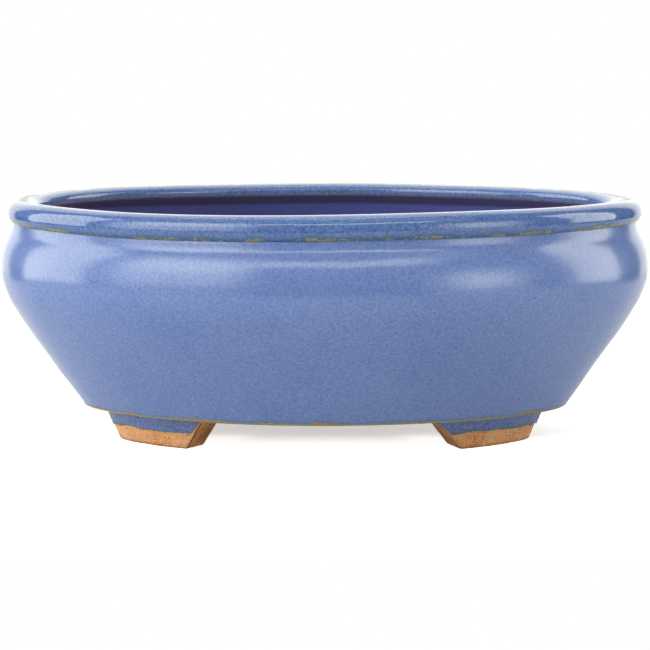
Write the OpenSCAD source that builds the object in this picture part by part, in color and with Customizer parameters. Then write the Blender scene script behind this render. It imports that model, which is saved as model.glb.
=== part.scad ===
// Oval glazed bonsai pot on four cut feet, stoneware, in millimetres.
// +X runs along the long side, +Y to the back, +Z up.
// The origin is on the ground under the middle of the pot.
// Every shape is a profile of (offset, height) points carried round the base oval,
// where offset is the distance outwards from the oval on which the body meets its underside.

/* [Base oval] */
// Radius of the oval's two ends
base_r = 46; // [42:1:50]
// Unit of the 3-4-5 triangle that the oval's four centres stand on
base_k = 16; // [15:0.5:17]

/* [Body] */
// Height of the underside above the ground
foot_h = 15.5; // [13:0.5:18]
// Thickness of the floor slab
floor_t = 8; // [7:0.5:9]
// Thickness of the wall with its glaze
wall_t = 7; // [6.5:0.5:8]
// Lean of the lower wall away from upright, in degrees
flare = 36; // [34:1:38]
// Radius of the slight swell between the lower wall and the shoulder
belly_r = 200; // [150:10:250]
// Rounding where the wall meets the underside
toe_r = 2.5; // [2:0.5:3]
// Rounding inside, where the wall meets the floor
cove_r = 5; // [4:0.5:7]
// How far the shoulder stands out from the base oval
shoulder_o = 40; // [39:0.5:41]
// Height of the widest line of the shoulder
shoulder_z = 80.5; // [80:0.5:82]
// Radius of the shoulder below its widest line
shoulder_low_r = 34; // [32:1:36]
// Lean at which the shoulder passes into the swell, in degrees
shoulder_a = 30; // [27:1:32]
// Radius of the shoulder above its widest line
shoulder_up_r = 26; // [25:0.5:26.5]

/* [Neck and rim] */
// How far the neck stands out from the base oval
neck_o = 34.5; // [34:0.5:35]
// Radius of the hollow between shoulder and rim
neck_r = 8; // [7:0.5:8.5]
// Height of the underside of the rim
rim_z = 101; // [100.5:0.5:102]
// Height of the rim band
rim_h = 11; // [10.5:0.5:12]
// How far the rim's outer face stands out from the base oval
rim_o = 37.3; // [37:0.1:38]
// Width of the rim, outer face to inner face
rim_w = 15; // [14:0.5:16]
// Rounding of the rim's upper corners
rim_top_r = 4.5; // [3.5:0.5:5]
// Rounding of the rim's outer lower corner
rim_low_r = 2.5; // [2:0.5:2.5]
// Height at which the rim's inner face ends
lip_z = 107; // [106.5:0.5:107.5]
// Rounding of the corner under the rim's inner face
lip_r = 1.5; // [1:0.5:2]
// How far that corner turns under, in degrees
lip_a = 50; // [45:5:55]

/* [Glaze] */
// Thickness of the glaze coat
glaze_t = 0.6; // [0.4:0.1:0.8]
// How far round the inner shoulder the coat runs down, in degrees above its widest line
glaze_in_a = 6; // [2:1:12]
// How far round the toe the coat starts, in degrees below level
glaze_toe_a = 50; // [45:1:60]
// Height of the glaze line on the feet
foot_glaze_z = 8; // [6:0.5:10]
// Bare clay left between the foot's glaze and its cut end
foot_glaze_gap = 2.5; // [1.5:0.5:4]

/* [Feet] */
// Offset of a foot's outer face at its top
foot_top_o = -6.5; // [-8:0.5:-5]
// Offset of a foot's outer face on the ground
foot_bottom_o = -13.8; // [-15:0.1:-12]
// Offset of a foot's inner face
foot_inner_o = -29; // [-32:0.5:-27]
// Where the cut end near the long side's middle stands, in degrees from the long axis
foot_mid_a = 60; // [57:0.5:63]
// Slant of that cut end from upright, in degrees
foot_mid_slant = 40; // [20:1:45]
// Where the end near the short side stands, in degrees from the long axis
foot_end_a = 16; // [12:0.5:20]
// Slant of the end near the short side from upright, in degrees
foot_end_slant = 10; // [0:1:15]

/* [Holes] */
// Diameter of the two drainage holes
drain_d = 24; // [18:1:28]
// Distance between the drainage holes' centres
drain_gap = 96; // [80:1:110]
// Diameter of the four tie-wire holes
wire_d = 5; // [4:0.5:6]
// Spacing of the tie-wire holes along X
wire_x = 40; // [30:1:50]
// Spacing of the tie-wire holes along Y
wire_y = 70; // [50:1:80]

/* [Hidden] */
$fn = 96;
clay = "#b98152";
slip_blue = "#7488bd";
rim_blue = "#8fa2c8";
past = 4;

// The base oval is four arcs that meet smoothly: two ends and two long sides.
// Their centres stand on 3-4-5 triangles, so the planes in which they meet have clean numbers.
end_x = 4 * base_k;
side_y = 3 * base_k;
side_r = base_r + 5 * base_k;
join_a = atan2(side_y, end_x);

// Heights and centres of the body's profile
floor_z = foot_h + floor_t;
low_c = [shoulder_o - shoulder_low_r, shoulder_z];
up_c = [shoulder_o - shoulder_up_r, shoulder_z];
neck_x = neck_o + neck_r;
neck_z = shoulder_z + sqrt(pow(shoulder_up_r + neck_r, 2) - pow(neck_x - up_c[0], 2));
neck_c = [neck_x, neck_z];
neck_a = atan2(neck_z - shoulder_z, neck_x - up_c[0]);
belly_c = low_c + (shoulder_low_r - belly_r) * [cos(shoulder_a), -sin(shoulder_a)];
// Distance of the straight wall's outer line from the origin of the profile
wall_line = belly_c[0] * cos(flare) - belly_c[1] * sin(flare) + belly_r;
toe_c = [line_o(foot_h + toe_r, toe_r), foot_h + toe_r];
cove_c = [line_o(floor_z + cove_r, wall_t + cove_r), floor_z + cove_r];
inner_o = neck_o - wall_t;
rim_top = rim_z + rim_h;
lip_c = [rim_o - rim_w + lip_r, lip_z];

// Offset of the straight wall at a height, a depth below its outer surface
function line_o(z, depth) = (wall_line - depth + z * sin(flare)) / cos(flare);
// Points of an arc from one angle to another, without its first point
function arc(c, r, from, to, steps) =
    [for (i = [1:steps]) c + r * [cos(from + (to - from) * i / steps), sin(from + (to - from) * i / steps)]];
// A single point of an arc
function on(c, r, a) = c + r * [cos(a), sin(a)];
function backwards(list) = [for (i = [len(list) - 1:-1:0]) list[i]];

// The body's surface at a depth, upwards from the top of its straight wall
function shoulder(depth) = concat(
    [on(belly_c, belly_r - depth, -flare)],
    arc(belly_c, belly_r - depth, -flare, -shoulder_a, 2),
    arc(low_c, shoulder_low_r - depth, -shoulder_a, 0, 5),
    neck(depth, 0));
// The part of that surface above an angle on the upper shoulder
function neck(depth, from) = concat(
    arc(up_c, shoulder_up_r - depth, from, neck_a, 6),
    arc(neck_c, neck_r + depth, 180 + neck_a, 180, 5));
// The rim's surface at a depth, from the neck outwards, over the top and in
function rim_line(depth) = concat(
    [[neck_o, rim_z + depth], [rim_o - rim_low_r, rim_z + depth]],
    arc([rim_o - rim_low_r, rim_z + rim_low_r], rim_low_r - depth, -90, 0, 5),
    [[rim_o - depth, rim_top - rim_top_r]],
    arc([rim_o - rim_top_r, rim_top - rim_top_r], rim_top_r - depth, 0, 90, 6),
    [[rim_o - rim_w + rim_top_r, rim_top - depth]],
    arc([rim_o - rim_w + rim_top_r, rim_top - rim_top_r], rim_top_r - depth, 90, 180, 6),
    [[rim_o - rim_w + depth, lip_z]],
    arc(lip_c, lip_r - depth, 180, 180 + lip_a, 5),
    [[inner_o + depth, lip_end(depth)]]);
// Height at which the slant under the rim's inner face meets the inside of the wall
function lip_end(depth) =
    let (corner = on(lip_c, lip_r - depth, 180 + lip_a))
    corner[1] - (inner_o + depth - corner[0]) / tan(lip_a);
// Offset of a foot's outer face at a height
function foot_o(z) = foot_bottom_o + (foot_top_o - foot_bottom_o) * z / foot_h;

// Carries a profile along one end arc and one side arc, both away from the plane where they meet,
// between two angles from the long axis
module quarter(from, to) {
    translate([end_x, 0, 0])
        rotate([0, 0, join_a])
            mirror([0, 1, 0])
                rotate_extrude(angle = join_a - from)
                    translate([base_r, 0])
                        children();
    translate([0, -side_y, 0])
        rotate([0, 0, join_a])
            rotate_extrude(angle = to - join_a)
                translate([side_r, 0])
                    children();
}

// Carries a profile round the whole oval, as four quarters cut at the axes
module ring() {
    for (x = [0, 1], y = [0, 1])
        mirror([x, 0, 0])
            mirror([0, y, 0])
                intersection() {
                    quarter(-5, 95)
                        children();
                    cube([200, 200, 200]);
                }
}

// Flat oval plate that fills the middle of the floor slab
module slab_core() {
    inset = 20;
    steps = 15;
    quarter_line = concat(
        [for (i = [0:steps]) [end_x, 0] + on([0, 0], base_r - inset, join_a * i / steps)],
        [for (i = [1:steps]) [0, -side_y] + on([0, 0], side_r - inset, join_a + (90 - join_a) * i / steps)]);
    half_line = concat(quarter_line, [for (i = [len(quarter_line) - 2:-1:0]) [-quarter_line[i][0], quarter_line[i][1]]]);
    translate([0, 0, foot_h])
        linear_extrude(floor_t)
            polygon(concat(half_line, [for (i = [1:len(half_line) - 2]) -half_line[i]]));
}

// Floor slab with its drainage and tie-wire holes
module floor_slab() {
    color(clay)
        difference() {
            union() {
                ring()
                    polygon(concat(
                        [[-30, foot_h], [toe_c[0], foot_h]],
                        arc(toe_c, toe_r, -90, -glaze_toe_a, 4),
                        [on(toe_c, toe_r - glaze_t, -glaze_toe_a)],
                        arc(toe_c, toe_r - glaze_t, -glaze_toe_a, -flare, 2),
                        [[line_o(floor_z, glaze_t), floor_z], [-30, floor_z]]));
                slab_core();
            }
            for (side = [-1, 1])
                translate([side * drain_gap / 2, 0, foot_h - 1])
                    cylinder(d = drain_d, h = floor_t + 2);
            for (x = [-1, 1], y = [-1, 1])
                translate([x * wire_x / 2, y * wire_y / 2, foot_h - 1])
                    cylinder(d = wire_d, h = floor_t + 2);
        }
}

// Wall of bare clay, from the floor slab up to the rim
module wall() {
    color(clay)
        ring()
            polygon(concat(
                [[line_o(floor_z, glaze_t), floor_z]],
                shoulder(glaze_t),
                [[neck_o - glaze_t, rim_z], [inner_o + glaze_t, rim_z]],
                backwards(neck(wall_t - glaze_t, glaze_in_a)),
                [on(up_c, shoulder_up_r - wall_t + glaze_t, glaze_in_a), on(up_c, shoulder_up_r - wall_t, glaze_in_a)],
                arc(up_c, shoulder_up_r - wall_t, glaze_in_a, 0, 1),
                arc(low_c, shoulder_low_r - wall_t, 0, -shoulder_a, 5),
                arc(belly_c, belly_r - wall_t, -shoulder_a, -flare, 2),
                [on(cove_c, cove_r, -flare)],
                arc(cove_c, cove_r, -flare, -90, 4)));
}

// Thick rolled rim, luted on top of the wall
module rim() {
    color(clay)
        ring()
            polygon(concat(
                [[inner_o + glaze_t, rim_z], [neck_o, rim_z]],
                rim_line(glaze_t)));
}

// Glaze coat over the outside of the body, from the toe to the neck
module wall_glaze() {
    color(slip_blue)
        ring()
            polygon(concat(
                [on(toe_c, toe_r, -glaze_toe_a)],
                arc(toe_c, toe_r, -glaze_toe_a, -flare, 2),
                shoulder(0),
                [[neck_o, rim_z], [neck_o - glaze_t, rim_z]],
                backwards(shoulder(glaze_t)),
                backwards(arc(toe_c, toe_r - glaze_t, -glaze_toe_a, -flare, 2)),
                [on(toe_c, toe_r - glaze_t, -glaze_toe_a)]));
}

// Glaze coat over the rim and a little way down inside
module rim_glaze() {
    color(rim_blue)
        ring()
            polygon(concat(
                rim_line(0),
                backwards(neck(wall_t, glaze_in_a)),
                [on(up_c, shoulder_up_r - wall_t, glaze_in_a), on(up_c, shoulder_up_r - wall_t + glaze_t, glaze_in_a)],
                neck(wall_t - glaze_t, glaze_in_a),
                backwards(rim_line(glaze_t))));
}

// Block that trims the end of a foot, standing on the far side of a slanted plane.
// away is 1 for the end near the long side's middle and -1 for the other end.
module end_cut(centre, radius, a, slant, away, inset) {
    reach = 60;
    translate(centre)
        rotate([0, 0, a])
            translate([radius, -away * inset, foot_h / 2])
                rotate([-away * slant, 0, 0])
                    translate([-reach, away > 0 ? 0 : -reach, -reach])
                        cube([2 * reach, reach, 2 * reach]);
}

// Profile carried along one quarter of the oval and trimmed at both ends
module foot_length(mid_inset, end_inset) {
    difference() {
        quarter(foot_end_a - 15, foot_mid_a + 15)
            children();
        end_cut([0, -side_y, 0], side_r + foot_inner_o / 2, foot_mid_a, foot_mid_slant, 1, mid_inset);
        end_cut([end_x, 0, 0], base_r + foot_inner_o / 2, foot_end_a, foot_end_slant, -1, end_inset);
    }
}

// Turns a foot made in the back right quarter over to another corner
module to_corner(side, end) {
    mirror([side < 0 ? 1 : 0, 0, 0])
        mirror([0, end < 0 ? 1 : 0, 0])
            children();
}

// One foot of bare clay, hollowed for its glaze coat
module foot(side, end) {
    color(clay)
        to_corner(side, end)
            difference() {
                foot_length(0, 0)
                    polygon([[foot_inner_o, 0], [foot_bottom_o, 0], [foot_top_o, foot_h], [foot_inner_o, foot_h]]);
                foot_length(foot_glaze_gap, -past)
                    polygon([[foot_o(foot_glaze_z) - glaze_t, foot_glaze_z],
                        [foot_o(foot_glaze_z) + past, foot_glaze_z],
                        [foot_top_o + past, foot_h + past],
                        [foot_o(foot_h + past) - glaze_t, foot_h + past]]);
            }
}

// The glaze coat on the upper half of a foot's outer face
module foot_glaze(side, end) {
    color(slip_blue)
        to_corner(side, end)
            foot_length(foot_glaze_gap, 0)
                polygon([[foot_o(foot_glaze_z) - glaze_t, foot_glaze_z],
                    [foot_o(foot_glaze_z), foot_glaze_z],
                    [foot_top_o, foot_h],
                    [foot_top_o - glaze_t, foot_h]]);
}

module foot_front_left() {
    foot(-1, -1);
}

module foot_front_right() {
    foot(1, -1);
}

module foot_back_left() {
    foot(-1, 1);
}

module foot_back_right() {
    foot(1, 1);
}

module foot_glaze_front_left() {
    foot_glaze(-1, -1);
}

module foot_glaze_front_right() {
    foot_glaze(1, -1);
}

module foot_glaze_back_left() {
    foot_glaze(-1, 1);
}

module foot_glaze_back_right() {
    foot_glaze(1, 1);
}

floor_slab();
wall();
rim();
wall_glaze();
rim_glaze();
foot_front_left();
foot_front_right();
foot_back_left();
foot_back_right();
foot_glaze_front_left();
foot_glaze_front_right();
foot_glaze_back_left();
foot_glaze_back_right();
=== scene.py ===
"""Oval stoneware bonsai pot: glaze coats, clay body and feet, on a pale table in soft studio light."""

import math

import bmesh
import bpy
import numpy as np
from bpy.props import FloatProperty, IntProperty, PointerProperty, StringProperty
from bpy.types import Operator, Panel, PropertyGroup
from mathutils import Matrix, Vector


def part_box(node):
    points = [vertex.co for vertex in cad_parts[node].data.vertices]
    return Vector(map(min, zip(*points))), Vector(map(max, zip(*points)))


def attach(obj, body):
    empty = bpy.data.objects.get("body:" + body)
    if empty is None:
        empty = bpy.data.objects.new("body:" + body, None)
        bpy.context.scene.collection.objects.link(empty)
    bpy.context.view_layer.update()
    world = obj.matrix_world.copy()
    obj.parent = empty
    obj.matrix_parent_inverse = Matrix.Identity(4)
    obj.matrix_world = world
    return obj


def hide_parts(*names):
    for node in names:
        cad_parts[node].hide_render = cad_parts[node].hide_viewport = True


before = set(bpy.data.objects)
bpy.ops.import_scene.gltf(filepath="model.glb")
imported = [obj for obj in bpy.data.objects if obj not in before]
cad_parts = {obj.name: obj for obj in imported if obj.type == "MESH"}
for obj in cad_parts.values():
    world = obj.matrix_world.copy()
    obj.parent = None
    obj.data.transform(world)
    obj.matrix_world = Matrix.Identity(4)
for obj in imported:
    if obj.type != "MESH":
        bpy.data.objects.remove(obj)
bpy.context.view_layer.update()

bl_info = {
    "name": "Oval Bonsai Pot",
    "version": (1, 0, 0),
    "blender": (4, 5, 0),
    "location": "View3D > Sidebar > Pot",
    "description": "Makes an oval glazed bonsai pot around its packed frame",
    "category": "Object",
}

MM = 0.001
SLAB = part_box("floor_slab")
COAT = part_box("wall_glaze")
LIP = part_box("rim_glaze")

# The base oval is four arcs whose centres stand on 3-4-5 triangles of this unit.
UNIT = (LIP[1].x - LIP[1].y) / 2
JOIN = math.atan2(3, 4)
BASE_R = 46 * MM
END_REACH = 4 * UNIT + BASE_R

# Directions at which the oval is worked out, and cells along each side of the noise's lattice.
DIRECTIONS = 4096
LATTICE = 48

# Rings along a foot, and the length of a foot along its middle.
FOOT_RINGS = 90
FOOT_LENGTH = 56 * MM

# Heights between which the toe's unevenness dies out, and the rim's and the rim's thinning set in.
TOE_ZONE = 17 * MM, 40 * MM
RIM_ZONE = 86 * MM, 100 * MM
PINCH_ZONE = 101.5 * MM, 105 * MM

# The table top's half width, its front and back edges, and its level just under the feet.
TABLE_SIDE, TABLE_FRONT, TABLE_BACK, TABLE_LEVEL = 0.45, -0.345, 0.75, -0.0001

# The camera's place, its fall below level in degrees, its lens and sensor width in mm, and its far end.
CAMERA_PLACE = (0.0001, -1.6, 0.2214)
CAMERA_FALL = 6.044
LENS, SENSOR, FAR = 191.3, 36, 20


def length(name, description, default):
    return FloatProperty(name=name, description=description, default=default, unit="LENGTH")


def degrees(name, description, default):
    return FloatProperty(name=name, description=description, default=math.radians(default), subtype="ANGLE")


def count(name, description, default):
    return IntProperty(name=name, description=description, default=default, min=8)


def colour(name, description, default):
    return StringProperty(name=name, description=description, default=default)


class BodySizes(PropertyGroup):
    """Sizes of the wall's profile, given as offsets from the base oval and heights above the ground."""

    underside: length("Underside", "Height of the underside", SLAB[0].z)
    floor_top: length("Floor", "Height of the floor inside", SLAB[1].z)
    wall: length("Wall", "Thickness of the wall with its glaze", 7 * MM)
    coat: length("Coat", "Thickness of the glaze", 0.6 * MM)
    flare: degrees("Flare", "Lean of the lower wall", 36)
    belly: length("Belly radius", "Radius of the swell below the shoulder", 200 * MM)
    toe: length("Toe radius", "Rounding where the wall meets the underside", 2.5 * MM)
    toe_start: degrees("Toe start", "Where the glaze starts on the toe, below level", 78)
    cove: length("Cove radius", "Rounding where the wall meets the floor", 5 * MM)
    shoulder: length("Shoulder", "Offset of the widest line", COAT[1].x - END_REACH)
    shoulder_z: length("Shoulder height", "Height of the widest line", 80.5 * MM)
    low_r: length("Lower shoulder radius", "Radius below the widest line", 34 * MM)
    low_lean: degrees("Lower shoulder lean", "Lean where the shoulder meets the belly", 30)
    up_r: length("Upper shoulder radius", "Radius above the widest line", 26 * MM)
    neck: length("Neck", "Offset of the neck", 34.5 * MM)
    neck_r: length("Neck radius", "Radius of the hollow under the rim", 8 * MM)
    inside_start: degrees("Inside start", "Where the glaze ends inside, above the widest line", 6)
    columns: count("Columns", "Steps round the pot", 720)


class RimSizes(PropertyGroup):
    """Sizes of the rolled rim."""

    underside: length("Underside", "Height at which the rim meets the wall", COAT[1].z - 0.6 * MM)
    middle: length("Middle", "Height of the rim's widest line", COAT[1].z + 4.2 * MM)
    top: length("Top", "Height of the rim's top", COAT[1].z + 10.5 * MM)
    inner_rise: length("Inner rise", "Height of the rounding on the inner side", 3.4 * MM)
    lip: length("Lip", "Height at which the inner face ends", COAT[1].z + 6 * MM)
    lip_r: length("Lip radius", "Rounding of the corner under the inner face", 1.5 * MM)
    lip_turn: degrees("Lip turn", "How far that corner turns under", 50)
    outside: length("Outside", "Offset of the rim's outer face", LIP[1].x - END_REACH - 0.05 * MM)
    width: length("Width", "Width of the rim", 14.8 * MM)


class FootSizes(PropertyGroup):
    """Sizes of a foot, given as offsets from the base oval and angles from the long axis."""

    top: length("Top", "Offset of the outer face at the top", -6.5 * MM)
    bottom: length("Bottom", "Offset of the outer face on the ground", -13.8 * MM)
    inner: length("Inner face", "Offset of the inner face", -29 * MM)
    mid_angle: degrees("Middle end", "Where the cut end near the long side's middle stands", 59.9)
    mid_slant: degrees("Middle slant", "Slant of that cut end from upright", 38.7)
    mid_skew: degrees("Middle skew", "Turn of that cut end from square to the wall", 8)
    odd_angle: degrees("Odd foot's end", "How much longer the foot at the front right is", 2.4)
    odd_slant: degrees("Odd foot's slant", "Slant of its cut end from upright", 43.6)
    odd_skew: degrees("Odd foot's skew", "Turn of its cut end from square to the wall", 18)
    end_angle: degrees("Short end", "Where the end near the short side stands", 18)
    end_slant: degrees("Short slant", "Slant of that end from upright", -8)
    edge: length("Edge", "Softness of the edges", 0.55 * MM)
    glaze_line: length("Glaze line", "Height at which the glaze stops", 7.6 * MM)
    glaze_gap: length("Glaze gap", "Bare clay left at the cut end", 1.7 * MM)


class Finish(PropertyGroup):
    """Colours of the glazes and the clay, as sRGB hex values."""

    body_deep: colour("Body, deep", "Blue glaze where it lies thick", "#50689f")
    body_milky: colour("Body, milky", "Blue glaze where it is clouded", "#697db0")
    rim_deep: colour("Rim, deep", "Rim glaze where it lies thick", "#38508a")
    rim_milky: colour("Rim, milky", "Rim glaze where it is clouded", "#5b75a6")
    break_olive: colour("Olive break", "Glaze where it thins over an edge", "#93966a")
    break_rust: colour("Rust break", "Clay showing through the thinnest glaze", "#98642a")
    break_teal: colour("Teal break", "Glaze where it starts to thin", "#4e6878")
    # Painted shade: a darker purple-blue for the inner face under the rim's lip, standing for the shade in
    # the hollow.
    inner_shade_tone: colour("Pooled", "Glaze gathered thick under the rim's lip", "#384488")
    speck_dark: colour("Dark specks", "Pinholes and dark specks in the glaze", "#3d4a6b")
    speck_iron: colour("Iron specks", "Iron specks in the glaze", "#8a7a55")
    clay_light: colour("Clay, light", "Bare clay, sandy", "#dbae85")
    clay_middle: colour("Clay, middle", "Bare clay between sandy and toasted", "#c07c42")
    clay_dark: colour("Clay, dark", "Bare clay, toasted", "#8a4f27")
    clay_pit: colour("Clay pits", "Open pits in the clay", "#5a3a26")
    clay_crack: colour("Clay crack", "The inside of the drying crack", "#38220f")


# ---------------------------------------------------------------- surfaces


def plan(angles, softness=math.radians(4)):
    """The base oval at each direction of its normal, and the normals.
    A convex curve's point is its support height times the normal plus the height's slope times the tangent.
    The height is that of four arcs, softened by a Gaussian of the given width in angle."""
    turn = np.arange(DIRECTIONS) * 2 * np.pi / DIRECTIONS
    across, along = np.abs(np.sin(turn)), np.abs(np.cos(turn))
    height = BASE_R + np.where(across < math.sin(JOIN), 4 * UNIT * along, 5 * UNIT - 3 * UNIT * across)
    waves = np.fft.rfft(height)
    order = np.arange(len(waves))
    waves = waves * np.exp(-(softness * order) ** 2 / 2)
    closed = np.append(turn, 2 * np.pi)
    level = np.fft.irfft(waves, DIRECTIONS)
    slope = np.fft.irfft(waves * 1j * order, DIRECTIONS)
    folded = np.mod(angles, 2 * np.pi)
    level = np.interp(folded, closed, np.append(level, level[0]))
    slope = np.interp(folded, closed, np.append(slope, slope[0]))
    normal = np.stack([np.cos(angles), np.sin(angles)], -1)
    tangent = np.stack([-np.sin(angles), np.cos(angles)], -1)
    return level[..., None] * normal + slope[..., None] * tangent, normal


def round_trip(steps, offset=30 * MM):
    """Directions of the normal at even steps of length round the oval, at an offset."""
    marks = np.array([0, JOIN, np.pi - JOIN, np.pi + JOIN, 2 * np.pi - JOIN, 2 * np.pi])
    radii = BASE_R + offset + np.array([0, 5, 0, 5, 0]) * UNIT
    run = np.append(0, np.cumsum(np.diff(marks) * radii))
    return np.interp(np.arange(steps) / steps * run[-1], run, marks)


def arc(centre, radius, start, end, steps):
    """Points of an arc: the centre plus the radius times the cosine and sine of even angles in degrees."""
    a = np.radians(np.linspace(start, end, steps))
    return np.stack([centre[0] + radius * np.cos(a), centre[1] + radius * np.sin(a)], -1)


def swell(centre, reach, start, end, power, steps):
    """Points of a superellipse: the cosine and sine of even angles, each to the power of 2 over
    the given power, times the reach along each axis."""
    a = np.radians(np.linspace(start, end, steps))
    c, s = np.cos(a), np.sin(a)
    shape = np.stack([np.sign(c) * np.abs(c) ** (2 / power), np.sign(s) * np.abs(s) ** (2 / power)], -1)
    return np.array(centre) + np.array(reach) * shape


def even(line, step):
    """A line of points again, at even steps of length."""
    run = np.append(0, np.cumsum(np.hypot(*np.diff(line, axis=0).T)))
    marks = np.linspace(0, run[-1], max(3, int(round(run[-1] / step)) + 1))
    return np.stack([np.interp(marks, run, line[:, 0]), np.interp(marks, run, line[:, 1])], -1)


def inward(line, depth):
    """A line of points moved by a depth to its left, square to the line between each point's neighbours."""
    way = np.gradient(line, axis=0)
    way /= np.hypot(*way.T)[:, None]
    return line + depth * np.stack([-way[:, 1], way[:, 0]], -1)


def soften(loop, size):
    """A closed loop with its corners rounded: its points, as complex numbers,
    averaged by a Gaussian in length."""
    z = loop[:, 0] + 1j * loop[:, 1]
    total = np.abs(np.diff(np.append(z, z[0]))).sum()
    order = np.fft.fftfreq(len(z), 1 / len(z))
    z = np.fft.ifft(np.fft.fft(z) * np.exp(-(2 * np.pi * order * size / total) ** 2 / 2))
    return np.stack([z.real, z.imag], -1)


def waves(angles, sizes, seed):
    """A sum of cosines with one, two, three... periods round the pot,
    each with its size and a seeded phase."""
    phases = np.random.default_rng(seed).uniform(0, 2 * np.pi, len(sizes))
    return sum(s * np.cos((i + 1) * angles + p) for i, (s, p) in enumerate(zip(sizes, phases)))


def lumps(points, cell, seed):
    """Value noise from -1 to 1: seeded numbers on a cubic lattice, blended between the eight nearest."""
    table = np.random.default_rng(seed).uniform(-1, 1, (LATTICE, LATTICE, LATTICE))
    place = points / cell
    low = np.floor(place).astype(int)
    t = place - low
    t = t * t * (3 - 2 * t)
    total = np.zeros(points.shape[:-1])
    for corner in np.ndindex(2, 2, 2):
        share = np.prod(np.where(corner, t, 1 - t), -1)
        x, y, z = np.moveaxis((low + corner) % LATTICE, -1, 0)
        total += share * table[x, y, z]
    return total


def step_up(value, low, high):
    """0 below low, 1 above high, and a smooth curve between."""
    t = np.clip((value - low) / (high - low), 0, 1)
    return t * t * (3 - 2 * t)


def hand_made(angles, place):
    """How the finished pot strays from true, as shifts of offset and height.
    The front of the rim rises to the right and falls to the left, the rim is thinner at the short ends,
    and the toe and the wall wander a little."""
    a = angles[:, None]
    high = step_up(place[..., 1], *RIM_ZONE)
    low = 1 - step_up(place[..., 1], *TOE_ZONE)
    tilt = -0.85 * MM * np.sin(2 * a) * (1 - np.sin(a)) / 2 - 0.3 * MM
    pinch = 1.2 * MM * np.cos(a) ** 4 * (1 - step_up(place[..., 1], *PINCH_ZONE))
    rim = waves(a, np.array([0, 0, 0.08, 0.1, 0.08, 0.06, 0.06, 0.05, 0.05]) * MM, 3)
    toe = waves(a, np.array([0, 0.06, 0.06, 0.05, 0.04, 0.04]) * MM, 5)
    slip = waves(a, np.array([0, 0.08, 0.08, 0.06, 0.04]) * MM, 7)
    out = MM * np.cos(a) * (0.5 * low - 0.2 * (1 - low)) + slip
    out = np.clip(out, -0.42 * MM, (0.5 * low - 0.1) * MM)
    return np.stack([out * (1 - 0.5 * high), high * (tilt + rim + pinch) + low * (toe - 0.3 * MM)], -1)


def carry(loop, angles):
    """A profile carried round the oval: at each direction the base point plus the offset along the normal,
    at the profile's height, with the pot's own unevenness added.
    Gives an array of rings by profile points."""
    place = np.broadcast_to(loop, (len(angles), *loop.shape[-2:]))
    place = place + hand_made(angles, place)
    base, normal = plan(angles)
    flat = base[:, None] + place[..., :1] * normal[:, None]
    return np.concatenate([flat, place[..., 1:]], -1)


def skin(name, grid, ends_open=False, **fields):
    """A closed mesh on a grid of rings by points, wrapped both ways,
    or with each end ring drawn to one point.
    Faces are turned outwards by the sign of the volume; each field becomes a value on the points."""
    rings, points = grid.shape[:2]
    ids = np.arange(rings * points).reshape(rings, points)
    ahead = ids[1:] if ends_open else np.roll(ids, -1, 0)
    here = ids[:-1] if ends_open else ids
    quads = np.stack([here, np.roll(here, -1, 1), np.roll(ahead, -1, 1), ahead], -1).reshape(-1, 4)
    co = grid.reshape(-1, 3)
    a, b, c, d = (co[quads[:, i]] for i in range(4))
    volume = np.einsum("ij,ij->i", a, np.cross(b, c) + np.cross(c, d)).sum()
    if volume < 0:
        quads = quads[:, ::-1]
    mesh = bpy.data.meshes.new(name)
    mesh.vertices.add(len(co))
    mesh.vertices.foreach_set("co", co.astype(np.float32).ravel())
    mesh.loops.add(quads.size)
    mesh.loops.foreach_set("vertex_index", quads.astype(np.int32).ravel())
    mesh.polygons.add(len(quads))
    mesh.polygons.foreach_set("loop_start", np.arange(0, quads.size, 4, dtype=np.int32))
    mesh.polygons.foreach_set("use_smooth", np.ones(len(quads), bool))
    mesh.update(calc_edges=True)
    for field, values in fields.items():
        layer = mesh.attributes.new(field, "FLOAT", "POINT")
        layer.data.foreach_set("value", np.broadcast_to(values, (rings, points)).astype(np.float32).ravel())
    if ends_open:
        work = bmesh.new()
        work.from_mesh(mesh)
        bmesh.ops.remove_doubles(work, verts=work.verts, dist=1e-7)
        work.to_mesh(mesh)
        work.free()
    mesh.validate()
    return bpy.data.objects.new(name, mesh)


def place_piece(piece, nodes, material):
    """Shows a piece in place of CAD nodes, riding on the pot, with its finish."""
    bpy.context.scene.collection.objects.link(piece)
    piece.data.materials.append(material)
    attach(piece, "root")
    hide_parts(*nodes)


# ---------------------------------------------------------------- profiles


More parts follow.
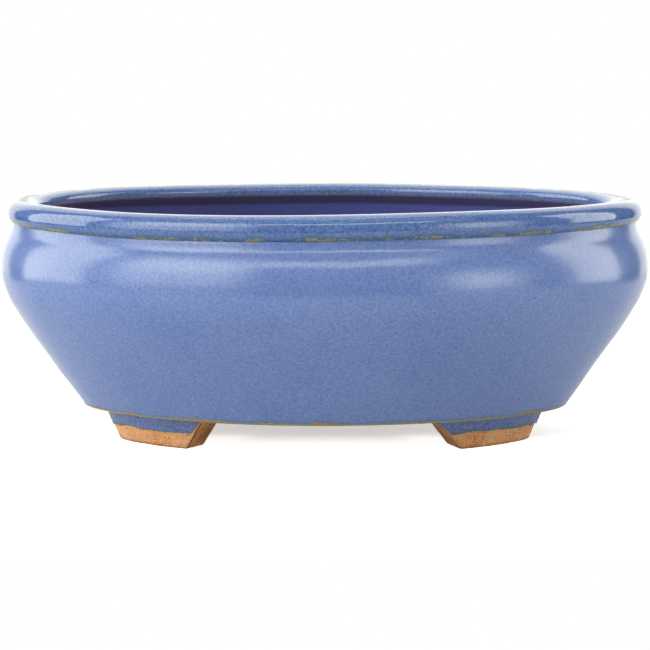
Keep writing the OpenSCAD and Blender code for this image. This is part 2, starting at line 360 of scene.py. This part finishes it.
class Profile:
    """The centres and lines of the wall's profile, worked out from its sizes."""

    def __init__(self, b):
        self.b = b
        flare, low = b.flare, b.low_lean
        self.flare = math.degrees(flare)
        self.low = math.degrees(low)
        self.low_c = np.array([b.shoulder - b.low_r, b.shoulder_z])
        self.up_c = np.array([b.shoulder - b.up_r, b.shoulder_z])
        self.belly_c = self.low_c + (b.low_r - b.belly) * np.array([math.cos(low), -math.sin(low)])
        self.line = self.belly_c[0] * math.cos(flare) - self.belly_c[1] * math.sin(flare) + b.belly
        reach = b.up_r + b.neck_r
        across = b.neck + b.neck_r - self.up_c[0]
        self.neck_c = np.array([b.neck + b.neck_r, b.shoulder_z + math.sqrt(reach**2 - across**2)])
        self.neck_a = math.degrees(math.asin((self.neck_c[1] - b.shoulder_z) / reach))
        self.toe_c = np.array([self.wall_at(b.underside + b.toe, b.toe), b.underside + b.toe])
        self.cove_c = np.array([self.wall_at(b.floor_top + b.cove, b.wall + b.cove), b.floor_top + b.cove])

    def wall_at(self, z, depth):
        """Offset of the straight wall at a height, a depth below its surface."""
        return (self.line - depth + z * math.sin(self.b.flare)) / math.cos(self.b.flare)

    def upper(self, depth, start, steps):
        """The upper shoulder from an angle, and the hollow of the neck."""
        b = self.b
        return np.concatenate([
            arc(self.up_c, b.up_r - depth, start, self.neck_a, steps),
            arc(self.neck_c, b.neck_r + depth, 180 + self.neck_a, 180, steps // 2)[1:],
        ])

    def outside(self, depth, steps=12):
        """The wall's surface at a depth, from the swell up to the neck."""
        b = self.b
        return np.concatenate([
            arc(self.belly_c, b.belly - depth, -self.flare, -self.low, steps),
            arc(self.low_c, b.low_r - depth, -self.low, 0, steps)[1:],
            self.upper(depth, 0, steps)[1:],
        ])


def rim_line(b, r, depth):
    """The rim's surface at a depth: a slanting outer lower edge, a round top that turns down tightly inside,
    and an inner face that turns under at its corner and slants back to the wall."""
    outer = r.outside - depth
    inner = r.outside - r.width + depth
    middle = (outer + inner) / 2
    half = (outer - inner) / 2
    edge = b.neck - 0.1 * MM
    rise = r.top - r.middle - depth
    drop = r.middle - r.underside - depth
    turn = math.degrees(r.lip_turn)
    corner = arc((inner - depth + r.lip_r, r.lip), r.lip_r - depth, 180, 180 + turn, 8)
    wall = b.neck - b.wall + depth
    end = corner[-1, 1] - (wall - corner[-1, 0]) / math.tan(r.lip_turn)
    top = np.concatenate([
        swell((middle, r.middle), (half, rise), 0, 90, 2.4, 46),
        swell((middle, r.top - r.inner_rise), (half, r.inner_rise - depth), 90, 180, 2.4, 46)[1:],
    ])
    return np.concatenate([
        swell((edge, r.middle), (outer - edge, drop), -90, 0, 1.75, 40),
        top[1:],
        corner,
        [[wall, end]],
    ])


# ---------------------------------------------------------------- finishes


def linear(text):
    """An sRGB hex value as a linear colour."""
    values = np.array([int(text[i:i + 2], 16) for i in (1, 3, 5)]) / 255
    values = np.where(values > 0.04045, ((values + 0.055) / 1.055) ** 2.4, values / 12.92)
    return (*values, 1)


def add(tree, kind, inputs=None, stops=(), **settings):
    """Adds a node, with its settings, its colour stops, and its inputs' values or links."""
    node = tree.nodes.new("ShaderNode" + kind)
    for key, value in settings.items():
        setattr(node, key, value)
    for i, (position, value) in enumerate(stops):
        ramp = node.color_ramp.elements
        stop = ramp[i] if i < 2 else ramp.new(position)
        stop.position = position
        stop.color = value
    for key, value in (inputs or {}).items():
        if isinstance(value, bpy.types.NodeSocket):
            tree.links.new(value, node.inputs[key])
        else:
            node.inputs[key].default_value = value
    return node


def new_material(name):
    material = bpy.data.materials.new(name)
    material.use_nodes = True
    material.node_tree.nodes.clear()
    return material, material.node_tree


def blend(tree, share, first, second):
    """The socket of a mix of two colours by a share."""
    return add(tree, "Mix", {0: share, 6: first, 7: second}, data_type="RGBA").outputs[2]


GREY = (0, 0, 0, 1), (1, 1, 1, 1)


def glaze(name, deep, milky, finish, roughness, peel, peel_depth):
    """Feldspathic stoneware glaze, dipped and fired: a milky blue glass with an orange-peel surface.
    It clouds in fine mottles, and thins to olive and rust where it runs off an edge."""
    material, tree = new_material(name)
    place = add(tree, "TexCoord").outputs["Object"]
    # Clouding in spots about 1 mm wide, and in broad drifts of 35 mm.
    mottle = add(tree, "TexNoise", {
        "Vector": place, "Scale": 1 / (1.1 * MM), "Detail": 2.0, "Roughness": 0.6})
    drift = add(tree, "TexNoise", {"Vector": place, "Scale": 1 / (35 * MM), "Detail": 2.0})
    share = add(tree, "Math", {0: drift.outputs[0], 1: 0.2, 2: mottle.outputs[0]}, operation="MULTIPLY_ADD")
    cloud = add(tree, "ValToRGB", {0: share.outputs[0]}, [(0.42, linear(deep)), (0.78, linear(milky))])
    # Pinholes and iron specks: 0.9 mm dots in about a third of the cells of a 9 mm lattice.
    cells = add(tree, "TexVoronoi", {"Vector": place, "Scale": 1 / (9 * MM)})
    dot = add(tree, "Math", {0: cells.outputs["Distance"], 1: 0.05}, operation="LESS_THAN")
    parts = add(tree, "SeparateColor", {0: cells.outputs["Color"]})
    rare = add(tree, "Math", {0: parts.outputs[0], 1: 0.32}, operation="LESS_THAN")
    speck = add(tree, "Math", {0: dot.outputs[0], 1: rare.outputs[0]}, operation="MULTIPLY")
    tint = add(tree, "ValToRGB", {0: parts.outputs[1]},
               [(0.45, linear(finish.speck_dark)), (0.75, linear(finish.speck_iron))])
    spotted = blend(tree, speck.outputs[0], cloud.outputs[0], tint.outputs[0])
    # Breaks along edges, torn by runs 1.5 mm wide and patches of 12 mm.
    thin = add(tree, "Attribute", attribute_name="thin")
    torn = add(tree, "TexNoise", {"Vector": place, "Scale": 1 / (1.5 * MM), "Detail": 2.0})
    patch = add(tree, "TexNoise", {"Vector": place, "Scale": 1 / (12 * MM), "Detail": 1.0})
    tear = add(tree, "Math", {0: torn.outputs[0], 1: patch.outputs[0]}, operation="MULTIPLY")
    share = add(tree, "Math", {0: tear.outputs[0], 1: 4.2, 2: -0.52}, operation="MULTIPLY_ADD")
    spots = add(tree, "Math", {0: thin.outputs["Fac"], 1: share.outputs[0]}, operation="MULTIPLY")
    line = add(tree, "Math", {0: thin.outputs["Fac"], 1: 1.4, 2: -1.4}, operation="MULTIPLY_ADD")
    most = add(tree, "Math", {0: spots.outputs[0], 1: 0.92}, operation="MINIMUM")
    amount = add(tree, "Math", {0: most.outputs[0], 1: line.outputs[0]}, operation="MAXIMUM")
    edge = add(tree, "ValToRGB", {0: amount.outputs[0]},
               [(0.0, linear(deep)), (1.0, linear(finish.break_rust)),
                (0.4, linear(finish.break_teal)), (0.75, linear(finish.break_olive))])
    cover = add(tree, "ValToRGB", {0: amount.outputs[0]}, [(0.05, GREY[0]), (0.4, GREY[1])])
    tone = blend(tree, cover.outputs[0], spotted, edge.outputs[0])
    # Painted shade: the inner face under the rim's lip is mixed to a darker purple-blue, for the shade in
    # the hollow.
    pool = add(tree, "Attribute", attribute_name="pool")
    tone = blend(tree, pool.outputs["Fac"], tone, linear(finish.inner_shade_tone))
    # Orange peel, and a duller surface where the glaze thins and on the shaded inner face under the rim's
    # lip.
    skin_noise = add(tree, "TexNoise", {"Vector": place, "Scale": 1 / peel, "Detail": 1.0})
    bump = add(tree, "Bump", {"Height": skin_noise.outputs[0], "Strength": 1.0, "Distance": peel_depth})
    dull = add(tree, "Math", {0: cover.outputs[0], 1: 0.2, 2: roughness}, operation="MULTIPLY_ADD")
    rough = add(tree, "Math", {0: pool.outputs["Fac"], 1: 0.4, 2: dull.outputs[0]}, operation="MULTIPLY_ADD")
    matt = add(tree, "Math", {0: cover.outputs[0], 1: pool.outputs["Fac"]}, operation="MAXIMUM")
    gloss = add(tree, "MapRange", {0: matt.outputs[0], 3: 0.5, 4: 0.12})
    shader = add(tree, "BsdfPrincipled", {
        "Base Color": tone, "Roughness": rough.outputs[0], "Normal": bump.outputs[0], "IOR": 1.52,
        "Specular IOR Level": gloss.outputs[0]})
    add(tree, "OutputMaterial", {0: shader.outputs[0]})
    return material


def clay(name, finish, grog=0.55 * MM, pits=0.3 * MM):
    """Coarse stoneware clay, pressed and fired without glaze: matt, sandy and open.
    Grog shows as pale and dark grains, and the fire toasts it in patches."""
    material, tree = new_material(name)
    place = add(tree, "TexCoord").outputs["Object"]
    toast = add(tree, "TexNoise", {"Vector": place, "Scale": 1 / (16 * MM), "Detail": 4.0, "Roughness": 0.6})
    grain = add(tree, "TexNoise", {"Vector": place, "Scale": 1 / grog, "Detail": 3.0, "Roughness": 0.7})
    calm = add(tree, "Math", {0: toast.outputs[0], 1: 0.6}, operation="MULTIPLY")
    share = add(tree, "Math", {0: grain.outputs[0], 1: 2.2, 2: calm.outputs[0]}, operation="MULTIPLY_ADD")
    # The clay is darker over its lowest 1.8 mm, next to the ground.
    up = add(tree, "SeparateXYZ", {0: place}).outputs[2]
    low_dark = add(tree, "MapRange", {0: up, 1: 0.3 * MM, 2: 1.8 * MM, 3: -0.25, 4: 0.0})
    total = add(tree, "Math", {0: share.outputs[0], 1: -0.47}, operation="ADD")
    total = add(tree, "Math", {0: total.outputs[0], 1: low_dark.outputs[0]}, operation="ADD")
    tone = add(tree, "ValToRGB", {0: total.outputs[0]},
               [(0.55, linear(finish.clay_dark)), (1.0, linear(finish.clay_light)),
                (0.75, linear(finish.clay_middle))])
    cells = add(tree, "TexVoronoi", {"Vector": place, "Scale": 1 / (2.4 * MM), "Randomness": 1.0})
    pit = add(tree, "ValToRGB", {0: cells.outputs["Distance"]}, [(0.08, GREY[0]), (0.2, GREY[1])])
    dark = blend(tree, pit.outputs[0], linear(finish.clay_pit), tone.outputs[0])
    crack = add(tree, "Attribute", attribute_name="crack")
    dark = blend(tree, crack.outputs["Fac"], dark, linear(finish.clay_crack))
    height = add(tree, "Math", {0: grain.outputs[0], 1: pit.outputs[0]}, operation="MULTIPLY")
    bump = add(tree, "Bump", {"Height": height.outputs[0], "Strength": 1.0, "Distance": pits})
    shader = add(tree, "BsdfPrincipled", {
        "Base Color": dark, "Roughness": 0.9, "Normal": bump.outputs[0], "Specular IOR Level": 0.25})
    add(tree, "OutputMaterial", {0: shader.outputs[0]})
    return material


def body_glaze(finish):
    """The satin blue glaze of the wall."""
    return glaze("blue_satin_stoneware_glaze", finish.body_deep, finish.body_milky, finish,
                 roughness=0.19, peel=0.9 * MM, peel_depth=0.02 * MM)


def rim_glaze(finish):
    """The same glaze on the rim, glossier and deeper."""
    return glaze("blue_gloss_stoneware_glaze", finish.rim_deep, finish.rim_milky, finish,
                 roughness=0.06, peel=2.2 * MM, peel_depth=0.02 * MM)


def foot_glaze(finish):
    """The thin run of glaze on the feet."""
    return glaze("blue_thin_stoneware_glaze", finish.rim_deep, finish.body_milky, finish,
                 roughness=0.25, peel=1.2 * MM, peel_depth=0.04 * MM)


def bare_clay(finish):
    """The one clay body of the whole pot."""
    found = bpy.data.materials.get("bare_stoneware_clay")
    return found or clay("bare_stoneware_clay", finish)


# ---------------------------------------------------------------- operators


class POT_OT_wall(Operator):
    """Make the clay wall and give the floor slab its clay"""

    bl_idname = "pot.wall"
    bl_label = "Clay Wall and Floor"

    def execute(self, context):
        b, finish = context.scene.pot_body, context.scene.pot_finish
        line = Profile(b)
        start = math.degrees(b.inside_start)
        # The last arc, at the floor, runs on the hollow's side of its centre.
        # This leaves the wall too thick inside, by up to 12 mm, below a height of 50 mm.
        inner = np.concatenate([
            line.upper(b.wall - 1.3 * b.coat, start, 14)[::-1],
            arc(line.up_c, b.up_r - b.wall, start - 1, 0, 3),
            arc(line.low_c, b.low_r - b.wall, 0, -line.low, 22)[1:],
            arc(line.belly_c, b.belly - b.wall, -line.low, -line.flare, 14)[1:],
            arc(line.cove_c, b.cove, 180 - line.flare, 270, 10),
        ])
        outer = line.outside(b.coat * 1.3)
        foot_in = [[line.wall_at(b.floor_top, b.coat * 1.3), b.floor_top]]
        inner = even(inner, 1.3 * MM)
        loop = np.concatenate([foot_in, outer, inner])
        angles = round_trip(b.columns)
        grid = carry(loop, angles)
        # Ribs left by the smoothing tool, and a sandy unevenness, on the inside only.
        inside = step_up(-loop[:, 1], -b.shoulder_z - 1 * MM, -b.shoulder_z + 2 * MM)
        inside[:len(outer) + 1] = 0
        ribs = 0.12 * MM * np.sin(2 * np.pi * loop[:, 1] / (6 * MM) + 1.5 * np.sin(2 * angles)[:, None])
        rough = inside * (ribs + 0.15 * MM * lumps(grid, 5 * MM, 21))
        grid[..., :2] += rough[..., None] * plan(angles)[1][:, None]
        place_piece(skin("clay_wall", grid), ["wall"], bare_clay(finish))
        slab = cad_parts["floor_slab"]
        slab.data.materials.clear()
        slab.data.materials.append(bare_clay(finish))
        return {"FINISHED"}


class POT_OT_body_coat(Operator):
    """Make the glaze coat on the outside of the wall"""

    bl_idname = "pot.body_coat"
    bl_label = "Body Glaze"

    def execute(self, context):
        b, finish = context.scene.pot_body, context.scene.pot_finish
        line = Profile(b)
        toe = arc(line.toe_c, b.toe, -math.degrees(b.toe_start), -line.flare, 9)
        straight = even(np.array([toe[-1], line.outside(0)[0]]), 1.25 * MM)[1:-1]
        end = b.shoulder_z + 21.8 * MM
        top = [[b.neck, end], [b.neck - b.coat, end]]
        under = [[toe[0, 0] - 1.2 * MM, b.underside - 0.05 * MM]]
        outer = np.concatenate([under, toe, straight, line.outside(0, 24)])
        inner = inward(outer, b.coat)[::-4]
        loop = np.concatenate([outer, top, inner])
        angles = round_trip(b.columns)
        grid = carry(loop, angles)
        shown = (np.arange(len(loop)) < len(outer)) & (loop[:, 1] > 18 * MM)
        grid[..., :2] += (0.1 * MM * shown * lumps(grid, 11 * MM, 31))[..., None] * plan(angles)[1][:, None]
        thin = 1.5 * np.exp(-np.maximum(loop[:, 1] - b.underside - 0.9 * MM, 0) / (0.5 * MM))
        place_piece(skin("body_glaze", grid, thin=thin), ["wall_glaze"], body_glaze(finish))
        return {"FINISHED"}


class POT_OT_rim(Operator):
    """Make the clay rim and the glaze coat over it"""

    bl_idname = "pot.rim"
    bl_label = "Rim and its Glaze"

    def execute(self, context):
        b, r, finish = context.scene.pot_body, context.scene.pot_rim, context.scene.pot_finish
        line = Profile(b)
        angles = round_trip(b.columns)
        core = even(rim_line(b, r, b.coat), 1.5 * MM)
        place_piece(skin("clay_rim", carry(core, angles)), ["rim"], bare_clay(finish))
        inside = line.upper(b.wall, math.degrees(b.inside_start), 14)[::-1]
        outer = even(rim_line(b, r, 0), 0.55 * MM)
        inside = even(np.concatenate([outer[-1:], inside]), 1.0 * MM)[1:]
        back = np.concatenate([inward(inside, b.coat)[::-2], even(rim_line(b, r, b.coat), 2.0 * MM)[::-1]])
        loop = np.concatenate([outer, inside, back])
        grid = carry(loop, angles)
        # A full coat sags into shallow swags on the outer face.
        face = np.zeros(len(loop))
        face[:len(outer)] = np.sin(np.linspace(0, np.pi, len(outer)))
        swag = face * (0.2 * MM * lumps(grid, 16 * MM, 41) + 0.06 * MM * lumps(grid, 5 * MM, 42))
        grid[..., :2] += swag[..., None] * plan(angles)[1][:, None]
        offset, height = loop.T
        centre = r.outside - r.width / 2
        lower = (offset > centre) * (1 - step_up(height, r.underside, r.underside + 4 * MM)) ** 1.6
        crest = np.exp(-((offset - centre) / (2.6 * MM)) ** 2) * (height > r.middle)
        crest = crest * (0.65 + 0.55 * np.sin(angles))[:, None]
        under = 0.4 * (offset < centre) * np.exp(-((height - r.lip + 0.8 * MM) / (0.9 * MM)) ** 2)
        thin = lower + crest + under
        # Painted shade: the inner face below the lip takes the darker inner colour, for the shade in the
        # hollow, and a duller surface.
        pool = 0.9 * (offset < centre) * (1 - step_up(height, r.lip - 1.6 * MM, r.lip - 0.6 * MM))
        piece = skin("rim_glaze", grid, thin=thin, pool=pool)
        place_piece(piece, ["rim_glaze"], rim_glaze(finish))
        return {"FINISHED"}


class POT_OT_feet(Operator):
    """Make the four feet of bare clay and the glaze on their outer faces"""

    bl_idname = "pot.feet"
    bl_label = "Feet and their Glaze"

    def along(self, f, b, run, place, odd):
        """Direction of the normal for a share of the foot's length, with both ends slanted by the height."""
        lean = place[..., 1] - b.underside / 2
        slant, skew = (f.odd_slant, f.odd_skew) if odd else (f.mid_slant, f.mid_skew)
        shift = lean * math.tan(slant) - (f.top - place[..., 0]) * math.tan(skew)
        middle = f.mid_angle + odd * f.odd_angle + shift / (BASE_R + 5 * UNIT + f.inner / 2)
        short = f.end_angle - lean * math.tan(f.end_slant) / (BASE_R + f.inner / 2)
        return short + (middle - short) * run

    def lay(self, f, b, run, place, side, back):
        """Points of a foot from their share of its length and their offset and height, on one corner."""
        angles = self.along(f, b, run, place, side > back)
        base, normal = plan(angles)
        flat = (base + place[..., :1] * normal) * (side, back)
        return np.concatenate([flat, place[..., 1:]], -1)

    def taper(self, rings, rounding, size):
        """Shares along the length and of the section: a quarter circle at each end,
        and a cap closing to a point."""
        steps = 7
        a = np.linspace(0, np.pi / 2, steps)
        inset = 1 - np.sin(a)
        cap = np.linspace(0, 1, 10)[:-1]
        edge = 1 - rounding * inset / size[1]
        start = rounding * (1 - np.cos(a)) / size[0]
        run = np.concatenate([np.zeros(9), start, np.linspace(start[-1], 1 - start[-1], rings)[1:-1],
                              1 - start[::-1], np.ones(9)])
        share = np.concatenate([cap * edge[0], edge, np.ones(rings - 2), edge[::-1], cap[::-1] * edge[0]])
        return run[:, None], share[:, None, None]

    def execute(self, context):
        b, f, finish = context.scene.pot_body, context.scene.pot_foot, context.scene.pot_finish
        top = b.underside + 1.0 * MM
        slope = (f.top - f.bottom) / b.underside
        corners = np.array([
            [f.inner, 0], [f.bottom, 0], [f.bottom + slope * top, top], [f.inner, top], [f.inner, 0]])
        loop = soften(even(corners, 0.45 * MM)[:-1], f.edge)
        middle = np.array([(f.inner + f.bottom) / 2, top / 2])
        for side, back, corner in ((-1, -1, "front_left"), (1, -1, "front_right"),
                                   (-1, 1, "back_left"), (1, 1, "back_right")):
            # The front right foot alone has well rounded ends.
            rounding = 2 * MM if side > back else 0.8 * MM
            run, share = self.taper(FOOT_RINGS, rounding, (FOOT_LENGTH, 8 * MM))
            section = middle + (loop - middle) * share
            grid = self.lay(f, b, run, section, side, back)
            seed = 50 + 2 * side + back
            rough = 0.2 * MM * lumps(grid, 7 * MM, seed) + 0.1 * MM * lumps(grid, 1.6 * MM, seed + 9)
            out = grid - grid.mean((0, 1))
            out /= np.linalg.norm(out, axis=-1, keepdims=True)
            grid += rough[..., None] * out * np.array([1, 1, 0.6])
            grid[..., 2] = np.clip(grid[..., 2], 0, top)
            grid[0], grid[-1] = grid[0].mean(0), grid[-1].mean(0)
            # A drying crack follows the corner beside the cut end, deepest on the front left foot.
            crack = np.exp(-((np.arange(len(grid)) - len(grid) + 13) / 1.3) ** 2)[:, None]
            crack = crack * step_up(loop[:, 0], f.inner + 5 * MM, f.inner + 9 * MM)
            name = "foot_" + corner
            piece = skin(name, grid, ends_open=True, crack=crack * (1.0 if side + back == -2 else 0.45))
            place_piece(piece, [name], bare_clay(finish))
            self.coat(f, b, finish, side, back, corner, top, slope)
        return {"FINISHED"}

    def coat(self, f, b, finish, side, back, corner, top, slope):
        """The glaze on a foot: a thin strip down its outer face, with a thick wavy lower edge."""
        outline = np.array([[0.0, -1.0], [0.0, 1.0], [1.0, 1.0], [1.0, -1.0], [0.0, -1.0]])
        flatness = (1, 0.08)
        loop = soften(even(outline * flatness, 0.02)[:-1], 0.03) / flatness
        run, share = self.taper(FOOT_RINGS, 0.4 * MM, (FOOT_LENGTH, 4 * MM))
        begin, stop = 0.004, 1 - f.glaze_gap / FOOT_LENGTH
        run = begin + (stop - begin) * run
        # The strip reaches the corner at its top and stops short of it at its lower edge.
        lag = 0.025 * step_up(run, 0.6, 1.0)
        seed = 70 + 2 * side + back
        edge = f.glaze_line + waves(run * 6, np.array([0.15, 0.2, 0.2, 0.15, 0.12, 0.1, 0.1]) * MM, seed)
        middle = np.array([0.5, 0.0])
        part = middle + (loop - middle) * share
        z = edge + (top - edge) * part[..., 0]
        skin_out = 0.55 * MM * np.maximum(part[..., 1], 0) + 0.7 * MM * np.minimum(part[..., 1], 0)
        place = np.stack([f.bottom + slope * z + skin_out, z], -1)
        grid = self.lay(f, b, run + lag * np.clip(part[..., 0], 0, 1), place, side, back)
        grid[0], grid[-1] = grid[0].mean(0), grid[-1].mean(0)
        thin = 1.4 * np.exp(-np.maximum(part[..., 0], 0) / 0.09)
        name = "foot_glaze_" + corner
        piece = skin(name, grid, ends_open=True, thin=thin)
        place_piece(piece, [name], foot_glaze(finish))


# The studio's soft boxes, in degrees: (turn to the left, rise), (half width, half height), softness, level.
SOFT_BOXES = (
    ((102, 17), (17, 27), 1.5, 4.2),
    ((50, 21), (23, 29), 9, 3.1),
    ((49, 31), (21, 13), 10, 2.6),
    ((-52, 2), (12, 15), 11, 4.4),
    ((-52, 48), (9, 5), 3, 1.8),
    ((-101, 15), (13, 25), 1.5, 4.4),
    ((-8, 40), (33, 5), 3.5, 4.8),
    ((0, 90), (180, 30), 8, 0.5),
)
# The white sweep behind the table, alike to the left and the right.
SWEEP = (180, 40), (38, 60), 4, 1.45
# The levels of the light from the room and from the ground.
ROOM, GROUND = 0.2, 0.5


class POT_OT_stage(Operator):
    """Make the table, the studio light and the camera"""

    bl_idname = "pot.stage"
    bl_label = "Stage"

    def table(self):
        """A flat white table top, 0.9 m wide, its front edge 0.23 m before the pot, with a painted glow that
        only the camera sees.
        """
        x = np.array([-TABLE_SIDE, TABLE_SIDE, TABLE_SIDE, -TABLE_SIDE])
        y = np.array([TABLE_FRONT, TABLE_FRONT, TABLE_BACK, TABLE_BACK])
        mesh = bpy.data.meshes.new("table_top")
        mesh.from_pydata(np.stack([x, y, np.full(4, TABLE_LEVEL)], -1).tolist(), [], [(0, 1, 2, 3)])
        top = bpy.data.objects.new("table_top", mesh)
        bpy.context.scene.collection.objects.link(top)
        material, tree = new_material("white_paper")
        white = add(tree, "BsdfDiffuse", {"Color": (0.74, 0.74, 0.74, 1)})
        # Painted light: seen by the camera alone, the table also glows. The glow is weaker at and behind the
        # pot and stronger in front of it, so it washes the floor's shadow out before the pot and leaves it
        # only under and behind the pot.
        seen = add(tree, "LightPath").outputs["Is Camera Ray"]
        place = add(tree, "SeparateXYZ", {0: add(tree, "TexCoord").outputs["Object"]}).outputs
        painted_glow_ramp = add(tree, "MapRange", {0: place[1], 1: 0.015, 2: -0.035, 3: 0.54, 4: 0.97},
                   interpolation_type="SMOOTHSTEP").outputs[0]
        painted_glow_strength = add(tree, "Math", {0: seen, 1: painted_glow_ramp}, operation="MULTIPLY")
        painted_glow = add(tree, "Emission", {"Strength": painted_glow_strength.outputs[0]})
        both = add(tree, "AddShader", {0: white.outputs[0], 1: painted_glow.outputs[0]})
        # It is clear from below, and over the last 3 mm, so that light reaches the feet's undersides.
        clear = add(tree, "BsdfTransparent")
        below = add(tree, "NewGeometry").outputs["Backfacing"]
        reach = add(tree, "LightPath").outputs["Ray Length"]
        touch = add(tree, "Math", {0: reach, 1: 3 * MM}, operation="LESS_THAN")
        under = add(tree, "Math", {0: below, 1: touch.outputs[0]}, operation="MAXIMUM").outputs[0]
        mix = add(tree, "MixShader", {0: under, 1: both.outputs[0], 2: clear.outputs[0]})
        add(tree, "OutputMaterial", {0: mix.outputs[0]})
        mesh.materials.append(material)

    def window(self, tree, turn, rise, place, half, soft, level):
        """A soft-edged rectangle of light on the sky: the level times a smooth step down from the half width
        and the half height, in degrees, on each side of its place."""
        sides = []
        for angle, middle, reach in zip((turn, rise), place, half):
            off = add(tree, "Math", {0: angle, 1: math.radians(middle)}, operation="SUBTRACT")
            off = add(tree, "Math", {0: off.outputs[0]}, operation="ABSOLUTE")
            sides.append(add(tree, "MapRange", {
                0: off.outputs[0], 1: math.radians(reach - soft), 2: math.radians(reach + soft),
                3: 1.0, 4: 0.0}, interpolation_type="SMOOTHSTEP").outputs[0])
        both = add(tree, "Math", {0: sides[0], 1: sides[1]}, operation="MULTIPLY")
        return add(tree, "Math", {0: both.outputs[0], 1: level}, operation="MULTIPLY").outputs[0]

    def surroundings(self):
        """A dim room with soft boxes round the table and a white sweep behind; the camera sees plain white.
        A direction's turn is measured to the left of the camera, and its rise above the horizon."""
        world = bpy.data.worlds.new("studio")
        world.use_nodes = True
        tree = world.node_tree
        tree.nodes.clear()
        way = add(tree, "SeparateXYZ", {0: add(tree, "TexCoord").outputs["Generated"]}).outputs
        left = add(tree, "Math", {0: way[0], 1: -1.0}, operation="MULTIPLY")
        front = add(tree, "Math", {0: way[1], 1: -1.0}, operation="MULTIPLY")
        turn = add(tree, "Math", {0: left.outputs[0], 1: front.outputs[0]}, operation="ARCTAN2").outputs[0]
        rise = add(tree, "Math", {0: way[2]}, operation="ARCSINE").outputs[0]
        away = add(tree, "Math", {0: turn}, operation="ABSOLUTE").outputs[0]
        lit = self.window(tree, away, rise, *SWEEP)
        for box in SOFT_BOXES:
            panel = self.window(tree, turn, rise, *box)
            lit = add(tree, "Math", {0: lit, 1: panel}, operation="ADD").outputs[0]
        room = add(tree, "MapRange", {0: rise, 1: -0.1, 2: 0.1, 3: 0.0, 4: ROOM}).outputs[0]
        ground = add(tree, "MapRange", {0: rise, 1: -0.6, 2: -0.7, 3: 0.0, 4: GROUND}).outputs[0]
        room = add(tree, "Math", {0: room, 1: ground}, operation="ADD").outputs[0]
        level = add(tree, "Math", {0: lit, 1: room}, operation="ADD").outputs[0]
        seen = add(tree, "LightPath").outputs["Is Camera Ray"]
        white = add(tree, "Mix", {0: seen, 2: level, 3: 1.0}, data_type="FLOAT").outputs[0]
        warm = blend(tree, seen, (1, 0.99, 0.91, 1), (1, 1, 1, 1))
        light = add(tree, "Background", {"Color": warm, "Strength": white})
        add(tree, "OutputWorld", {0: light.outputs[0]})
        bpy.context.scene.world = world

    def execute(self, context):
        self.table()
        self.surroundings()
        data = bpy.data.cameras.new("camera")
        data.sensor_width = SENSOR
        data.lens = LENS
        data.clip_end = FAR
        camera = bpy.data.objects.new("camera", data)
        camera.location = CAMERA_PLACE
        camera.rotation_euler = (math.radians(90 - CAMERA_FALL), 0, 0)
        context.scene.collection.objects.link(camera)
        context.scene.camera = camera
        context.scene.view_settings.view_transform = "Standard"
        return {"FINISHED"}


class POT_PT_panel(Panel):
    """Lists the pot's pieces in the order in which they are made"""

    bl_label = "Bonsai Pot"
    bl_idname = "POT_PT_panel"
    bl_space_type = "VIEW_3D"
    bl_region_type = "UI"
    bl_category = "Pot"

    def draw(self, context):
        for step in STEPS:
            self.layout.operator(step.bl_idname)


STEPS = (POT_OT_wall, POT_OT_body_coat, POT_OT_rim, POT_OT_feet, POT_OT_stage)
GROUPS = {"pot_body": BodySizes, "pot_rim": RimSizes, "pot_foot": FootSizes, "pot_finish": Finish}


def register():
    for item in (*GROUPS.values(), *STEPS, POT_PT_panel):
        bpy.utils.register_class(item)
    for name, group in GROUPS.items():
        setattr(bpy.types.Scene, name, PointerProperty(type=group))


def unregister():
    for name in GROUPS:
        delattr(bpy.types.Scene, name)
    for item in reversed((*GROUPS.values(), *STEPS, POT_PT_panel)):
        bpy.utils.unregister_class(item)


def main():
    register()
    bpy.ops.pot.wall()
    bpy.ops.pot.body_coat()
    bpy.ops.pot.rim()
    bpy.ops.pot.feet()
    bpy.ops.pot.stage()
    bpy.context.view_layer.update()


if __name__ == "__main__":
    main()
